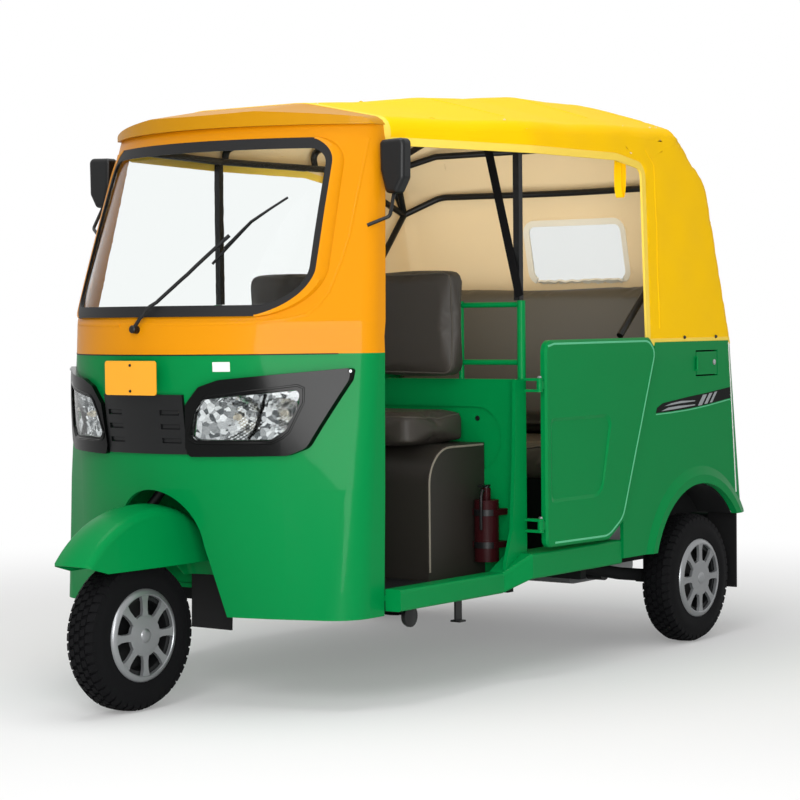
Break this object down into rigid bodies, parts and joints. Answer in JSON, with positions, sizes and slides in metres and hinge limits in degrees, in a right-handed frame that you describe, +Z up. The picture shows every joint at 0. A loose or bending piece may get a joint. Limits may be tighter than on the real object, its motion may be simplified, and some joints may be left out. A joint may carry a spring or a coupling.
{
  "type": "auto rickshaw",
  "caption": "Three-wheeled auto rickshaw with a green and orange cab, a soft yellow canopy, side doors and a bench seat.",
  "frame": {"origin": "on the ground, in the middle of the overall length and width", "axes": "+X to the vehicle's left, -Y towards its front, +Z up"},
  "size_m": [1.314, 2.6464, 1.7579],
  "materials": {
    "green": "gloss",
    "orange": "gloss",
    "yellow_cloth": "satin",
    "black_metal": "satin",
    "black_plastic": "satin",
    "black_rubber": "matte",
    "vinyl": "satin",
    "clear_glass": "gloss",
    "lamp_chrome": "polished",
    "lamp_red": "gloss",
    "engine_metal": "matte",
    "shock_metal": "satin",
    "maroon": "gloss",
    "tyre_rubber": "matte",
    "wheel_silver": "satin"
  },
  "bodies": {
    "chassis": {"canopy": "yellow_cloth", "chassis_frame": "black_metal", "dashboard": "black_plastic", "drive_shafts": "engine_metal", "driver_backrest": "vinyl", "driver_cushion": "vinyl", "driver_seat_base": "black_plastic", "engine_block": "engine_metal", "fire_extinguisher": "maroon", "floor_pan": "green", "front_cowl": "green", "front_plate": "orange", "grille_band": "black_plastic", "headlamp_bezels": "black_plastic", "headlamp_lenses": "clear_glass", "headlamp_reflectors": "lamp_chrome", "mirrors": "black_plastic", "partition_frame": "green", "partition_panel": "green", "passenger_backrest": "vinyl", "passenger_cushion": "vinyl", "passenger_seat_base": "black_metal", "rear_body": "green", "rear_bumper": "black_metal", "rear_mudflaps": "black_rubber", "rear_shocks": "shock_metal", "rear_window": "clear_glass", "roof_frame": "black_metal", "roof_header": "orange", "side_sills": "green", "steering_head": "black_metal", "tail_lamps": "lamp_red", "trailing_arms": "black_metal", "wheel_arches": "black_metal", "wheel_housing": "green", "windscreen_frame": "orange", "windscreen_gasket": "black_rubber", "windscreen_glass": "clear_glass"},
    "steering": {"steering_fork": "black_metal", "front_shock": "shock_metal", "handlebar": "black_metal", "grips": "black_rubber", "front_fender": "green", "fender_flap": "black_rubber"},
    "front_wheel": {"front_tyre": "tyre_rubber", "front_rim": "wheel_silver"},
    "rear_wheel_left": {"rear_left_tyre": "tyre_rubber", "rear_left_rim": "wheel_silver"},
    "rear_wheel_right": {"rear_right_tyre": "tyre_rubber", "rear_right_rim": "wheel_silver"},
    "left_door": {"door_left": "green"},
    "right_door": {"door_right": "green"},
    "engine_hatch": {"engine_lid": "green"},
    "fuel_hatch": {"fuel_flap": "green"}
  },
  "joints": [
    {"name": "steering_turn", "type": "hinge", "parent": "chassis", "child": "steering", "pos_m": [0, -1.0215, 0.2075], "axis": [0, 0.342, 0.9397], "range_deg": [-40, 40]},
    {"name": "front_wheel_spin", "type": "hinge", "parent": "steering", "child": "front_wheel", "pos_m": [0, -1.0815, 0.2075], "axis": [1, 0, 0], "continuous": true},
    {"name": "rear_wheel_left_spin", "type": "hinge", "parent": "chassis", "child": "rear_wheel_left", "pos_m": [0.593, 0.9035, 0.2075], "axis": [1, 0, 0], "continuous": true},
    {"name": "rear_wheel_right_spin", "type": "hinge", "parent": "chassis", "child": "rear_wheel_right", "pos_m": [-0.593, 0.9035, 0.2075], "axis": [1, 0, 0], "continuous": true},
    {"name": "left_door_swing", "type": "hinge", "parent": "chassis", "child": "left_door", "pos_m": [0.647, -0.0345, 0.655], "axis": [0, 0, -1], "range_deg": [0, 80]},
    {"name": "right_door_swing", "type": "hinge", "parent": "chassis", "child": "right_door", "pos_m": [-0.647, -0.0345, 0.655], "axis": [0, 0, 1], "range_deg": [0, 80]},
    {"name": "engine_hatch_lift", "type": "hinge", "parent": "chassis", "child": "engine_hatch", "pos_m": [0, 1.287, 0.8075], "axis": [1, 0, 0], "range_deg": [0, 70]},
    {"name": "fuel_hatch_swing", "type": "hinge", "parent": "chassis", "child": "fuel_hatch", "pos_m": [0.646, 0.894, 0.903], "axis": [0, 0, -1], "range_deg": [0, 95]}
  ]
}
